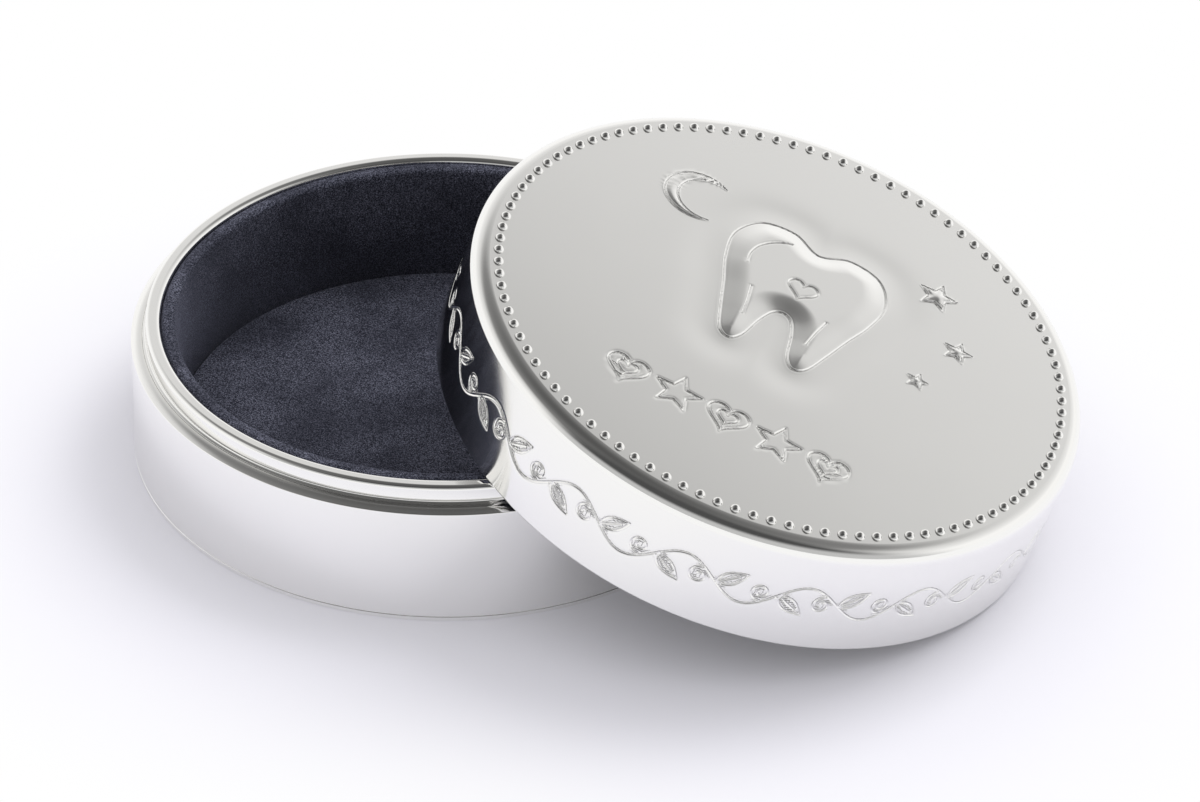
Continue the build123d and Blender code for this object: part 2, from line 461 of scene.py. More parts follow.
@dataclass(frozen=True)
class FaceDesign:
    """The struck and engraved design on the lid's face: a milk tooth, a moon and stars, over a row of hearts.

    Places are in the plane of the face, with x down the lid's slope and y to the row frame's +Y.
    """

    tooth_place: tuple[float, float] = (-0.5, 4.5)
    tooth_size: float = 1.22
    # fmt: off
    tooth_half: tuple[tuple[float, float], ...] = (
        (0.0, 6.1), (2.4, 7.3), (5.1, 6.7), (6.5, 4.1), (6.2, 0.9), (5.3, -2.1), (4.5, -5.0),
        (3.7, -7.5), (2.7, -8.2), (1.9, -7.1), (1.4, -4.7), (0.8, -3.0), (0.0, -2.5),
    )
    # fmt: on
    moon_place: tuple[float, float] = (-13.2, 12.0)
    moon_radius: float = 3.4
    moon_outer: tuple[float, float] = (55, 305)
    moon_inner: tuple[float, float] = (290, 70)
    stars: tuple[tuple[float, float, float], ...] = ((11.2, 14.6, 2.0), (15.4, 8.2, 1.5), (13.4, 1.4, 1.1))
    star_notch: float = 0.45
    gleam_span: tuple[float, float] = (118, 196)
    gleam_radii: tuple[float, float] = (4.6, 3.9)
    gleam_rise: float = 2.1
    crease: tuple[tuple[float, float], ...] = ((3.2, -1.6), (2.9, -3.3), (2.7, -5.0))
    tooth_heart: tuple[float, float, float] = (0.4, 1.0, 1.5)
    row_count: int = 5
    row_step: float = 5.1
    row_place: float = -16.2
    row_size: float = 2.05
    row_star_growth: float = 1.15
    relief: float = 0.42
    relief_start: float = 0.5
    relief_width: float = 3.0
    small_relief: float = 0.2
    small_start: float = 0.35
    small_width: float = 1.2
    pull: float = 0.07
    pull_place: float = 1.6
    pull_width: float = 2.0

    def tooth(self) -> np.ndarray:
        """The tooth's outline: a smooth loop through its right half and the mirrored half."""
        right = np.array(self.tooth_half)
        left = right[-2:0:-1] * [-1, 1]
        return smooth_loop(np.concatenate([right, left])) * self.tooth_size + self.tooth_place

    def moon(self) -> np.ndarray:
        """The crescent's outline: a wide arc out and a shallower arc back between the same tips."""
        out = np.linspace(*np.radians(self.moon_outer), 28)
        back = np.linspace(*np.radians(self.moon_inner), 20)
        outer = np.stack([np.cos(out), np.sin(out)], axis=1)
        tip = outer[0]
        inner = np.stack([np.cos(back), np.sin(back)], axis=1)
        scale = tip[1] / inner[-1, 1]
        inner = inner * scale
        inner[:, 0] += tip[0] - inner[-1, 0]
        return np.concatenate([outer, inner[1:-1]]) * self.moon_radius + self.moon_place

    def star(self, x: float, y: float, size: float) -> np.ndarray:
        """A five-pointed star's outline, with notches between its points."""
        angles = math.pi / 2 + np.arange(10) * math.pi / 5
        radius = np.where(np.arange(10) % 2 == 0, size, self.star_notch * size)
        return np.stack([np.cos(angles) * radius + x, np.sin(angles) * radius + y], axis=1)

    def heart(self, x: float, y: float, size: float) -> np.ndarray:
        """A heart's outline: x = sin^3 t, y = (13 cos t - 5 cos 2t - 2 cos 3t - cos 4t) / 16."""
        t = np.linspace(0, 2 * math.pi, 40, endpoint=False)
        across = np.sin(t) ** 3
        rise = (13 * np.cos(t) - 5 * np.cos(2 * t) - 2 * np.cos(3 * t) - np.cos(4 * t)) / 16
        return np.stack([across * size + x, rise * size + y], axis=1)

    def row(self) -> list[np.ndarray]:
        """The row of hearts and stars under the tooth, each heart with a smaller one inside it."""
        loops = []
        for number in range(self.row_count):
            x = (number - (self.row_count - 1) / 2) * self.row_step
            if number % 2 == 0:
                loops += [self.heart(x, self.row_place, self.row_size * share) for share in (1.0, 0.5)]
            else:
                loops.append(self.star(x, self.row_place, self.row_size * self.row_star_growth))
        return loops

    def tooth_lines(self) -> list[np.ndarray]:
        """The lines on the tooth: the gleam at its shoulder and a crease on each root."""
        size, place = self.tooth_size, np.array(self.tooth_place)
        angles = np.linspace(*np.radians(self.gleam_span), 14)
        arc = np.stack([np.cos(angles), np.sin(angles)], axis=1) * self.gleam_radii + [0, self.gleam_rise]
        creases = [np.array(self.crease) * [side, 1] for side in (-1, 1)]
        return [line * size + place for line in (arc, *creases)]

    def segments(self) -> np.ndarray:
        """All the engraved lines of the face, as straight segments."""
        tooth = self.tooth()
        closed = [tooth, self.moon()] + [self.star(*star) for star in self.stars] + self.row()
        right, up, size = self.tooth_heart
        closed.append(self.heart(tooth[:, 0].mean() + right, self.tooth_place[1] + up, size))
        groups = [as_segments(loop, True) for loop in closed]
        groups += [as_segments(stroke, False) for stroke in self.tooth_lines()]
        return np.concatenate(groups)

    def height(self, points: np.ndarray) -> np.ndarray:
        """How far the sheet is struck up at each point.

        Inside an outline the sheet rises as a smooth step over a few millimetres, and round it the sheet is
        pulled down in a bell.

        Args:
            points: (n, 2) in the plane of the face.

        Returns:
            The rise of each point.
        """
        tooth = signed_distance(points, self.tooth())
        rise = self.relief * smooth_step((self.relief_start - tooth) / self.relief_width)
        rise -= self.pull * np.exp(-(((np.maximum(tooth, 0) - self.pull_place) / self.pull_width) ** 2))
        for loop in [self.moon()] + [self.star(*star) for star in self.stars]:
            distance = signed_distance(points, loop)
            rise += self.small_relief * smooth_step((self.small_start - distance) / self.small_width)
        return rise


# Materials


class Slot(Enum):
    """The record's material slots."""

    BASE = "silver_base"
    RIM = "silver_rim"
    LID = "silver_lid"
    VELVET = "velvet"


class Nodes:
    """A node tree that is being written: makes nodes and links them."""

    def __init__(self, tree: bpy.types.NodeTree) -> None:
        """Keeps the tree."""
        self.tree = tree

    def add(self, kind: str, settings: dict | None = None, **inputs: object) -> bpy.types.Node:
        """Adds a node, with its settings and its inputs.

        Args:
            kind: the node's class name, without ShaderNode.
            settings: the node's properties.
            **inputs: values or output sockets by input name, with _ for a space.

        Returns:
            The node.
        """
        node = self.tree.nodes.new("ShaderNode" + kind)
        for key, value in (settings or {}).items():
            setattr(node, key, value)
        self.fill(node, **inputs)
        return node

    def fill(self, node: bpy.types.Node, **inputs: object) -> None:
        """Gives a node's inputs, by name with _ for a space, their values or output sockets."""
        for key, value in inputs.items():
            self.put(node.inputs[key.replace("_", " ")], value)

    def noise(
        self, place: object, scale: float, detail: float, roughness: float = 0.5
    ) -> bpy.types.NodeSocket:
        """The value of a Noise Texture."""
        node = self.add("TexNoise", Vector=place, Scale=scale, Detail=detail, Roughness=roughness)
        return node.outputs[0]

    def put(self, socket: bpy.types.NodeSocket, value: object) -> None:
        """Links an output socket to an input, or sets the input's value."""
        if isinstance(value, bpy.types.NodeSocket):
            self.tree.links.new(value, socket)
        else:
            socket.default_value = value

    def math(self, operation: str, *values: object) -> bpy.types.NodeSocket:
        """The result of a Math node."""
        node = self.add("Math", {"operation": operation})
        for socket, value in zip(node.inputs, values):
            self.put(socket, value)
        return node.outputs[0]

    def vector(self, operation: str, *values: object) -> bpy.types.Node:
        """A Vector Math node."""
        node = self.add("VectorMath", {"operation": operation})
        for socket, value in zip(node.inputs, values):
            self.put(socket, value)
        return node

    def remap(
        self, value: object, low: float, high: float, to_low: float = 0.0, to_high: float = 1.0
    ) -> bpy.types.NodeSocket:
        """A value's smooth step from low to high, put between two other values."""
        node = self.add("MapRange", {"interpolation_type": "SMOOTHSTEP"})
        for socket, number in zip(node.inputs, (value, low, high, to_low, to_high)):
            self.put(socket, number)
        return node.outputs[0]

    def blend(self, share: object, first: object, second: object) -> bpy.types.NodeSocket:
        """A colour between two others, from the colour sockets of a Mix node."""
        node = self.add("Mix", {"data_type": "RGBA"})
        for number, value in ((0, share), (6, first), (7, second)):
            self.put(node.inputs[number], value)
        return node.outputs[2]


def new_material(name: str) -> tuple[bpy.types.Material, Nodes, bpy.types.Node]:
    """Starts a material: the material, its node writer and its shader."""
    made = bpy.data.materials.new(name)
    made.use_nodes = True
    return made, Nodes(made.node_tree), made.node_tree.nodes["Principled BSDF"]


def new_group(name: str, inputs: dict[str, float], outputs: tuple[str, ...]) -> tuple[Nodes, object, object]:
    """Starts a shader node group.

    Args:
        name: the group's name.
        inputs: each input's name and default number.
        outputs: each output's name.

    Returns:
        The group's node writer, the sockets that bring its inputs and the sockets that take its outputs.
    """
    group = bpy.data.node_groups.new(name, "ShaderNodeTree")
    for key, value in inputs.items():
        socket = group.interface.new_socket(name=key, in_out="INPUT", socket_type="NodeSocketFloat")
        socket.default_value = value
    for key in outputs:
        group.interface.new_socket(name=key, in_out="OUTPUT", socket_type="NodeSocketFloat")
    given, result = (group.nodes.new("NodeGroup" + end) for end in ("Input", "Output"))
    return Nodes(group), given.outputs, result.inputs


def polish_group() -> bpy.types.NodeTree:
    """The handled polish of silver plate: faint cloudy smudges and hairline scratches.

    Returns:
        A group that gives a roughness and a height.
    """
    nodes, given, result = new_group(
        "polish", {"Roughness": 0.08, "Smudge": 0.05, "Scratch": 0.3}, ("Roughness", "Height")
    )
    place = nodes.add("TexCoord").outputs["Object"]
    cloud = nodes.noise(place, 90.0, 4.0, 0.6)
    grain = nodes.noise(place, 5200.0, 2.0)
    stretch = nodes.add("Mapping", Vector=place, Scale=(260.0, 5200.0, 2600.0), Rotation=(0.2, 0.4, 0.9))
    lines = nodes.remap(nodes.noise(stretch.outputs[0], 1.0, 3.0, 0.7), 0.56, 0.74)
    smudge = nodes.math("MULTIPLY", nodes.remap(cloud, 0.35, 0.7), given["Smudge"])
    total = nodes.math("ADD", given["Roughness"], smudge)
    nodes.put(result["Roughness"], nodes.math("ADD", total, nodes.math("MULTIPLY", grain, 0.01)))
    nodes.put(result["Height"], nodes.math("MULTIPLY", lines, given["Scratch"]))
    return nodes.tree


def engraving_group() -> bpy.types.NodeTree:
    """A cut line, from the vector to the nearest stroke that each vertex carries.

    The vector runs through zero across a stroke, so its length is the distance from the stroke however coarse
    the mesh is, and the separate distance keeps out the places half way between two strokes.

    Returns:
        A group that gives the cut's depth, from 0 to 1, and the burr that stands at its sides.
    """
    nodes, given, result = new_group("engraving", {"Half Width": 0.16, "Tremble": 0.04}, ("Cut", "Burr"))
    offset = nodes.add("Attribute", {"attribute_name": "stroke_offset"}).outputs["Vector"]
    reach = nodes.add("Attribute", {"attribute_name": "stroke_distance"}).outputs["Fac"]
    place = nodes.add("TexCoord").outputs["Object"]
    shake = nodes.noise(place, 2600.0, 1.0)
    distance = nodes.vector("LENGTH", offset).outputs["Value"]
    uneven = nodes.math("MULTIPLY_ADD", nodes.math("SUBTRACT", shake, 0.5), given["Tremble"], distance)
    near = nodes.remap(reach, 0.3, 0.42, 1.0, 0.0)
    share = nodes.math("DIVIDE", uneven, given["Half Width"])
    cut = nodes.math("MULTIPLY", nodes.remap(share, 0.0, 1.0, 1.0, 0.0), near)
    beside = nodes.math("ABSOLUTE", nodes.math("SUBTRACT", share, 1.25))
    burr = nodes.math("MULTIPLY", nodes.remap(beside, 0.0, 0.4, 1.0, 0.0), near)
    nodes.put(result["Cut"], cut)
    nodes.put(result["Burr"], burr)
    return nodes.tree


@dataclass(frozen=True)
class Silver:
    """Polished silver plate."""

    name: str
    groups: dict[str, bpy.types.NodeTree]
    colour: tuple[float, float, float, float] = (0.925, 0.92, 0.905, 1.0)
    roughness: float = 0.07
    smudge: float = 0.03
    scratch: float = 0.25
    engraved: bool = False
    half_width: float = 0.12
    cut_depth: float = 0.07

    def material(self) -> bpy.types.Material:
        """Makes the metal, whose roughness and hairlines come from the polish.

        Returns:
            The material, with cut lines if it is engraved.
        """
        made, nodes, shader = new_material(self.name)
        polish = nodes.add("Group", {"node_tree": self.groups["polish"]})
        nodes.fill(polish, Roughness=self.roughness, Smudge=self.smudge, Scratch=self.scratch)
        bump = nodes.add("Bump", Strength=0.06, Distance=0.00002, Height=polish.outputs["Height"])
        normal = bump.outputs[0]
        roughness = polish.outputs["Roughness"]
        if self.engraved:
            cut = nodes.add("Group", {"node_tree": self.groups["engraving"]}, Half_Width=self.half_width)
            sunk = nodes.math("MULTIPLY", cut.outputs["Cut"], -1.0)
            height = nodes.math("MULTIPLY_ADD", cut.outputs["Burr"], 0.25, sunk)
            depth = self.cut_depth * MM
            normal = nodes.add("Bump", Strength=1.0, Distance=depth, Height=height, Normal=normal).outputs[0]
            roughness = nodes.math("MULTIPLY_ADD", cut.outputs["Cut"], 0.1, roughness)
        nodes.fill(shader, Metallic=1.0, Base_Color=self.colour, Roughness=roughness, Normal=normal)
        return made


@dataclass(frozen=True)
class Velvet:
    """Short-pile navy velvet."""

    name: str = "navy_velvet"
    # The navy in painted shade between the fibres; lit is the same navy as painted light on the fibre tips.
    shaded_navy: tuple[float, float, float, float] = (0.01, 0.011, 0.018, 1.0)
    lit: tuple[float, float, float, float] = (0.36, 0.37, 0.48, 1.0)

    def material(self) -> bpy.types.Material:
        """Makes the velvet: its colour paints shade between the fibres and light and glints on their tips,
        with patches of nap and a sheen.

        Returns:
            The material.
        """
        made, nodes, shader = new_material(self.name)
        place = nodes.add("TexCoord").outputs["Object"]
        tips = nodes.noise(place, 6800.0, 3.0, 0.8)
        # Painted glints: bright specks on the pile tips, put into the base colour.
        glint_noise = nodes.noise(place, 11000.0, 1.0)
        patch = nodes.remap(nodes.noise(place, 120.0, 4.0, 0.6), 0.32, 0.7, 0.45, 1.0)
        # Painted light on the fibre tips over painted shade between them, in patches of nap.
        tip_light = nodes.math("MULTIPLY", nodes.remap(tips, 0.42, 0.7), patch)
        painted_glint = nodes.math("MULTIPLY", nodes.remap(glint_noise, 0.58, 0.7), patch)
        total = nodes.math("MULTIPLY_ADD", painted_glint, 0.5, nodes.math("MULTIPLY", tip_light, 0.6))
        nodes.fill(
            shader,
            Base_Color=nodes.blend(nodes.math("MINIMUM", total, 1.0), self.shaded_navy, self.lit),
            Roughness=0.9,
            Specular_IOR_Level=0.1,
            Sheen_Weight=0.25,
            Sheen_Roughness=0.35,
            Sheen_Tint=(0.55, 0.57, 0.75, 1.0),
            Normal=nodes.add("Bump", Strength=0.7, Distance=0.00006, Height=tips).outputs[0],
        )
        return made


@dataclass(frozen=True)
class Card:
    """Grey lining card."""

    name: str = "grey_card"
    dark: tuple[float, float, float, float] = (0.2, 0.19, 0.2, 1.0)
    light: tuple[float, float, float, float] = (0.42, 0.41, 0.42, 1.0)

    def material(self) -> bpy.types.Material:
        """Makes the card: grey pulp with darker and lighter fibres.

        Returns:
            The material.
        """
        made, nodes, shader = new_material(self.name)
        pulp = nodes.noise(nodes.add("TexCoord").outputs["Object"], 1400.0, 5.0, 0.7)
        bump = nodes.add("Bump", Strength=0.4, Distance=0.00005, Height=pulp).outputs[0]
        nodes.fill(shader, Base_Color=nodes.blend(pulp, self.dark, self.light), Roughness=0.9, Normal=bump)
        return made


class Finishes:
    """Every material of the box, made once."""

    def __init__(self) -> None:
        """Builds the shared groups and the materials."""
        groups = {"polish": polish_group(), "engraving": engraving_group()}
        self.wall = Silver("silver_wall", groups, roughness=0.1, smudge=0.05).material()
        self.rim = Silver("silver_rim", groups, roughness=0.06).material()
        self.face = Silver("silver_face", groups, roughness=0.09, smudge=0.04, engraved=True).material()
        self.skirt = Silver("silver_skirt", groups, roughness=0.08, engraved=True, half_width=0.13).material()
        self.bead = Silver("silver_bead", groups, roughness=0.05, scratch=0.0).material()
        self.velvet = Velvet().material()
        self.card = Card().material()


def wear(piece: bpy.types.Object, material: bpy.types.Material) -> None:
    """Gives a piece one material."""
    piece.data.materials.clear()
    piece.data.materials.append(material)


def dress(piece: bpy.types.Object, material: bpy.types.Material, body: str, node: str) -> None:
    """Gives a piece its material and body, and hides the CAD node that it stands for.

    Args:
        piece: the piece.
        material: its finish.
        body: the body that carries it.
        node: the CAD node that it replaces, alone or with others.
    """
    wear(piece, material)
    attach(piece, body)
    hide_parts(node)
    log.info("%s: %d faces on %s", piece.name, len(piece.data.polygons), body)


def disc_lining(
    name: str, part: str, place: Place, edge_round: float, faces_up: bool
) -> tuple[bpy.types.Object, float]:
    """Makes a velvet disc that wraps a card disc and is open at the card's back.

    Args:
        name: the piece's name.
        part: what the velvet and card nodes' names start with.
        place: where the disc stands.
        edge_round: radius of the edge that shows.
        faces_up: whether the velvet lies over the card, or hangs under it.

    Returns:
        The piece, and the radius in millimetres of the disc that its cloth is cut from.
    """
    velvet, board = (place.to_local(node_points(part + kind)) for kind in ("_velvet", "_board"))
    radius, board_radius = float(reach_of(velvet).max()), float(reach_of(board).max())
    foot, top = least_and_most(velvet[:, 2])
    board_foot, board_top = least_and_most(board[:, 2])
    back, front, card_face = (foot, top, board_top) if faces_up else (top, foot, board_foot)
    corners = [
        (0.0, card_face, 0.0),
        (board_radius, card_face, 0.0),
        (board_radius, back, 0.0),
        (radius, back, 0.0),
        (radius, front, edge_round),
        (0.0, front, 0.0),
    ]
    piece = turned_disc(name, fillet_outline(corners if faces_up else corners[::-1], 6), place)
    return piece, radius + (top - foot) * WRAP_SHARE


# The base


@dataclass
class Base:
    """The base: plate, wall, rim collar and velvet lining. Sizes are in millimetres, as in the CAD."""

    finishes: Finishes
    place: Place = field(default_factory=base_place)
    plate_round: float = 0.12
    seam_bevel: float = 0.06
    shoulder_rise: float = 0.4
    shoulder_round: float = 0.12
    cove_rise: float = 0.2
    rim_round_outside: float = 0.4
    rim_round_inside: float = 0.5
    seam_round: float = 0.02
    shoulder_bulge: float = 0.126
    cove_power: float = 0.9
    cove_start: float = 0.05
    collar_round: float = 0.05
    lining_round_outside: float = 0.5
    lining_round_inside: float = 0.42
    floor_round: float = 0.25

    def __post_init__(self) -> None:
        """Reads the sizes that the CAD sets."""
        low, high = (np.array(corner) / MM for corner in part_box("base_wall"))
        self.radius = high[0]
        self.seam = low[2]
        self.shoulder_top = high[2]
        self.wall_inside = float(reach_of(node_points("base_wall")).min())
        collar = node_points("rim_collar")
        reach = reach_of(collar)
        self.collar_inside, self.collar_outside = least_and_most(reach)
        self.collar_foot, self.rim_top = least_and_most(collar[:, 2])
        self.spigot = float(reach[collar[:, 2] > self.shoulder_top + self.cove_rise / 2].max())

    def plate(self) -> None:
        """The plate soldered under the wall, with a bevel at the seam."""
        corners = [
            (0.0, 0.0, 0.0),
            (self.radius, 0.0, self.plate_round),
            (self.radius, self.seam - self.seam_bevel, self.seam_round),
            (self.radius - self.seam_bevel, self.seam, 0.0),
            (0.0, self.seam, 0.0),
        ]
        piece = turned_disc("base_plate_plated", fillet_outline(corners, 6), self.place)
        dress(piece, self.finishes.wall, "base", "base_plate")

    def wall(self) -> None:
        """The wall's tube, whose top is an arc that bulges as it rises to the collar."""
        thickness = self.radius - self.wall_inside
        outer_edge = self.shoulder_top - self.shoulder_rise
        share = np.linspace(0, 1, 9)[1:-1]
        bulge = self.shoulder_bulge * thickness * np.sin(math.pi * share)
        shoulder = [
            (self.radius - thickness * s, outer_edge + self.shoulder_rise * s + b, 0.0)
            for s, b in zip(share.tolist(), bulge.tolist())
        ]
        corners = [
            (self.wall_inside, self.seam, 0.0),
            (self.radius - self.seam_bevel, self.seam, 0.0),
            (self.radius, self.seam + self.seam_bevel, self.seam_round),
            (self.radius, outer_edge, self.shoulder_round),
            *shoulder,
            (self.wall_inside, self.shoulder_top, 0.0),
        ]
        piece = turned_piece("base_wall_plated", fillet_outline(corners, 6), self.place, 720)
        dress(piece, self.finishes.wall, "base", "base_wall")

    def collar(self) -> None:
        """The collar: a cove up to the spigot, the spigot and its rounded rim."""
        angles = np.linspace(0, math.pi / 2, 7)
        width = self.collar_outside - self.spigot
        foot = self.shoulder_top + self.cove_rise
        fall = self.cove_rise * np.cos(angles) ** self.cove_power
        cove = [
            (self.collar_outside - width * math.sin(a), foot - drop, 0.0)
            for a, drop in zip(angles.tolist(), fall.tolist())
        ]
        corners = [
            (self.collar_inside, self.collar_foot, self.collar_round),
            (self.collar_outside, self.collar_foot, self.collar_round),
            (self.collar_outside, self.shoulder_top - self.cove_start, 0.0),
            *cove,
            (self.spigot, self.rim_top, self.rim_round_outside),
            (self.collar_inside, self.rim_top, self.rim_round_inside),
        ]
        piece = turned_piece("rim_collar_plated", fillet_outline(corners, 10), self.place, 720)
        dress(piece, self.finishes.rim, "base", "rim_collar")

    def wall_lining(self) -> None:
        """The wall's velvet: its inside, its soft top edge and the turnover behind the card."""
        points, board = node_points("wall_velvet"), node_points("wall_board")
        reach = reach_of(points)
        inside, outside = least_and_most(reach)
        foot, top = least_and_most(points[:, 2])
        board_inside, board_outside = least_and_most(reach_of(board))
        board_top = float(board[:, 2].max())
        turnover = float(points[reach > board_outside + TOUCH, 2].min())
        corners = [
            (outside, top, self.lining_round_outside),
            (inside, top, self.lining_round_inside),
            (inside, foot, 0.0),
            (board_inside, foot, 0.0),
            (board_inside, board_top, 0.0),
            (board_outside, board_top, 0.0),
            (board_outside, turnover, 0.0),
            (outside, turnover, 0.0),
        ]
        outline = fillet_outline(corners[::-1], 8)
        piece = turned_piece("wall_velvet_pile", outline, self.place, 720)
        dress(piece, self.finishes.velvet, "base", "wall_velvet")

    def floor_lining(self) -> None:
        """The floor's velvet, over its card and round the card's edge."""
        piece, cut = disc_lining("floor_velvet_pile", "floor", self.place, self.floor_round, True)
        dress(piece, self.finishes.velvet, "base", "floor_velvet")

    def build(self) -> None:
        """Builds every piece of the base."""
        self.plate()
        self.wall()
        self.collar()
        self.wall_lining()
        self.floor_lining()
        for name in ("wall_board", "floor_board"):
            wear(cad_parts[name], self.finishes.card)


# The lid


@dataclass
class Lid:
    """The lid: struck face, skirt with its engraved vine, beads and lining. Sizes are in millimetres."""

    finishes: Finishes
    place: Place = field(default_factory=lid_place)
    design: FaceDesign = FaceDesign()
    vine: Vine = Vine()
    crown: float = 0.3
    sheet: float = 0.8
    edge_round: float = 1.5
    ceiling_round: float = 0.4
    skirt_round_inside: float = 0.75
    skirt_round_outside: float = 0.25
    bead_count: int = 102
    bead_diameter: float = 1.1
    bead_margin: float = 2.33
    bead_sink: float = 0.1
    bead_start_angle: float = 1.33
    bead_sides: int = 16
    bead_rings: int = 6
    band: tuple[float, float] = (9.2, 2.2)
    band_rings: int = 42
    lining_round: float = 0.3
    face_rings: int = 140
    fine_rings: int = 112
    fine_step: float = 0.15

    def __post_init__(self) -> None:
        """Reads the sizes that the CAD sets, in the lid's own place."""
        local = self.place.to_local(node_points("lid_shell"))
        reach = reach_of(local)
        self.radius = float(reach.max())
        self.height = float(local[reach < self.radius / 2, 2].max())
        self.inside = float(reach[local[:, 2] < self.height / 2].min())
        self.crown_radius = (self.radius**2 + self.crown**2) / (2 * self.crown)
        self.bead_circle = self.radius - self.bead_margin

    def face_height(self, radius: np.ndarray | float) -> np.ndarray:
        """Height of the dome: the crown's sphere, whose top is the lid's height."""
        return self.height - self.crown_radius + np.sqrt(self.crown_radius**2 - np.square(radius))

    def ceiling_height(self, radius: np.ndarray | float) -> np.ndarray:
        """Height of the lid's inner face, one sheet below the dome."""
        inner = self.crown_radius - self.sheet
        return self.height - self.crown_radius + np.sqrt(inner**2 - np.square(radius))

    def disc_grid(self) -> tuple[np.ndarray, np.ndarray]:
        """A square grid laid over the face's disc.

        Square ring k of the grid becomes circle k of the disc, and the place along the square's side becomes
        the angle. Circles are one fine step apart under the design and spread out towards the beads.

        Returns:
            The points (n, 2), row by row, and the quads.
        """
        count = self.face_rings
        fine = np.arange(self.fine_rings + 1) * self.fine_step
        rest = np.arange(1, count - self.fine_rings + 1) / (count - self.fine_rings)
        left = self.bead_circle - fine[-1]
        slow = (count - self.fine_rings) * self.fine_step / left
        radii = np.concatenate([fine, fine[-1] + left * (slow * rest + (1 - slow) * rest**2)])
        i, j = np.meshgrid(np.arange(-count, count + 1), np.arange(-count, count + 1), indexing="xy")
        wide = np.abs(i) >= np.abs(j)
        main = np.where(wide, i, j)
        other = np.where(wide, j, -i)
        safe = np.where(main == 0, 1, main)
        quarter = np.where(wide, 0.0, math.pi / 2) + np.where(main < 0, math.pi, 0.0)
        angle = quarter + math.pi / 4 * other / safe
        radius = radii[np.abs(main)]
        points = np.stack([radius * np.cos(angle), radius * np.sin(angle)], axis=-1).reshape(-1, 2)
        side = 2 * count + 1
        corner = (np.arange(side - 1)[:, None] * side + np.arange(side - 1)[None, :]).ravel()
        quads = np.stack([corner, corner + 1, corner + side + 1, corner + side], axis=1)
        return points, quads

    def border_numbers(self) -> np.ndarray:
        """The vertex numbers round the grid's border, anticlockwise from angle -45 degrees."""
        side = 2 * self.face_rings + 1
        grid = np.arange(side * side).reshape(side, side)
        return np.concatenate([grid[:-1, -1], grid[-1, :0:-1], grid[:0:-1, 0], grid[0, :-1]])

    def face(self) -> None:
        """The struck and engraved face inside the beads, closed below one sheet down."""
        flat, quads = self.disc_grid()
        offset = nearest_offset(flat, self.design.segments())
        rise = self.face_height(reach_of(flat)) + self.design.height(flat) - groove(offset)
        top = np.concatenate([flat, rise[:, None]], axis=1)
        border = self.border_numbers()
        under = top[border].copy()
        under[:, 2] = float(self.ceiling_height(self.bead_circle))
        pole = np.array([[0.0, 0.0, under[0, 2]]])
        count = len(border)
        low = len(top) + np.arange(count)
        wall = np.stack([border, low, np.roll(low, -1), np.roll(border, -1)], axis=1)
        fan = np.stack([low, np.full(count, len(top) + count), np.roll(low, -1)], axis=1)
        points = self.place.to_metres(np.concatenate([top, under, pole]))
        flat_faces = np.arange(len(quads), len(quads) + len(wall) + len(fan))
        piece = add_piece("lid_face", points, np.concatenate([quads, wall]), fan, flat_faces)
        hidden = np.full((count + 1, 2), FAR)
        self.write_strokes(piece, np.concatenate([offset, hidden]))
        dress(piece, self.finishes.face, "lid", "lid_shell")

    def write_strokes(self, piece: bpy.types.Object, offset: np.ndarray) -> None:
        """Stores each vertex's vector to the nearest stroke, and its distance."""
        write_attribute(piece, "stroke_offset", np.concatenate([offset, np.zeros((len(offset), 1))], axis=1))
        write_attribute(piece, "stroke_distance", np.linalg.norm(offset, axis=1))

    def skirt(self) -> None:
        """The lid outside the beads: margin, rounded edge, skirt with the vine, and the inside."""
        band = np.linspace(*self.band, self.band_rings)
        corners = [
            (self.bead_circle, float(self.ceiling_height(self.bead_circle)), 0.0),
            (self.bead_circle, float(self.face_height(self.bead_circle)), 0.0),
            (self.radius, float(self.face_height(self.radius)), self.edge_round),
            *[(self.radius, height, 0.0) for height in band.tolist()],
            (self.radius, 0.0, self.skirt_round_outside),
            (self.inside, 0.0, self.skirt_round_inside),
            (self.inside, float(self.ceiling_height(self.inside)), self.ceiling_round),
        ]
        outline = fillet_outline(corners[::-1], 8)
        segments = 8 * self.face_rings
        local = turn_points(outline, segments)
        girth = 2 * math.pi * self.radius
        around = np.mod(np.arctan2(local[:, 1], local[:, 0]) * self.radius, girth / self.vine.waves)
        outside = reach_of(local) > self.radius - TOUCH
        unrolled = np.stack([around, local[:, 2]], axis=1)
        offset = np.full((len(local), 2), FAR)
        offset[outside] = nearest_offset(unrolled[outside], self.vine.segments(girth))
        local[:, :2] *= (1 - groove(offset) / self.radius)[:, None]
        quads = ring_quads(len(outline), segments, True)
        seam = np.flatnonzero(np.isclose(outline[:, 0], self.bead_circle)).min()
        flat_faces = np.arange(seam * segments, (seam + 2) * segments)
        piece = add_piece("lid_skirt", self.place.to_metres(local), quads, None, flat_faces)
        self.write_strokes(piece, offset)
        dress(piece, self.finishes.skirt, "lid", "lid_shell")

